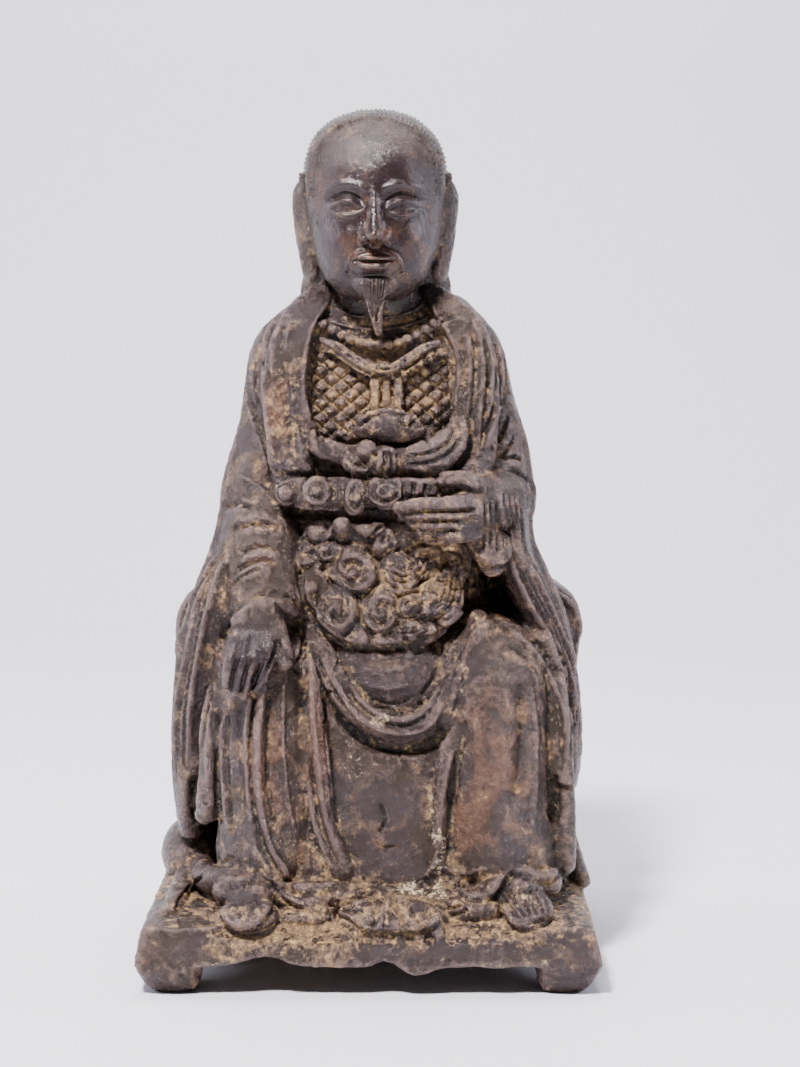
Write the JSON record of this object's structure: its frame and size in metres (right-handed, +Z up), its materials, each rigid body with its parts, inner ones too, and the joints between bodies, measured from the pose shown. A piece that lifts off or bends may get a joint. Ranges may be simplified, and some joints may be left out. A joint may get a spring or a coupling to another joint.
{
  "type": "bronze statue",
  "caption": "Seated robed deity with long swept-back hair and a belt, cast in one with a low open-bottomed plinth on corner feet.",
  "frame": {"origin": "centre of the plinth's outline, on the ground under its feet", "axes": "+Z up, the figure faces -Y, +X to the viewer's right"},
  "size_m": [0.1322, 0.1139, 0.25],
  "materials": {
    "old_bronze": "old dark bronze, worn satin on the high places, with earth and pale crust in the hollows"
  },
  "bodies": {
    "root": {"zhenwu_figure": "old_bronze"}
  },
  "joints": []
}
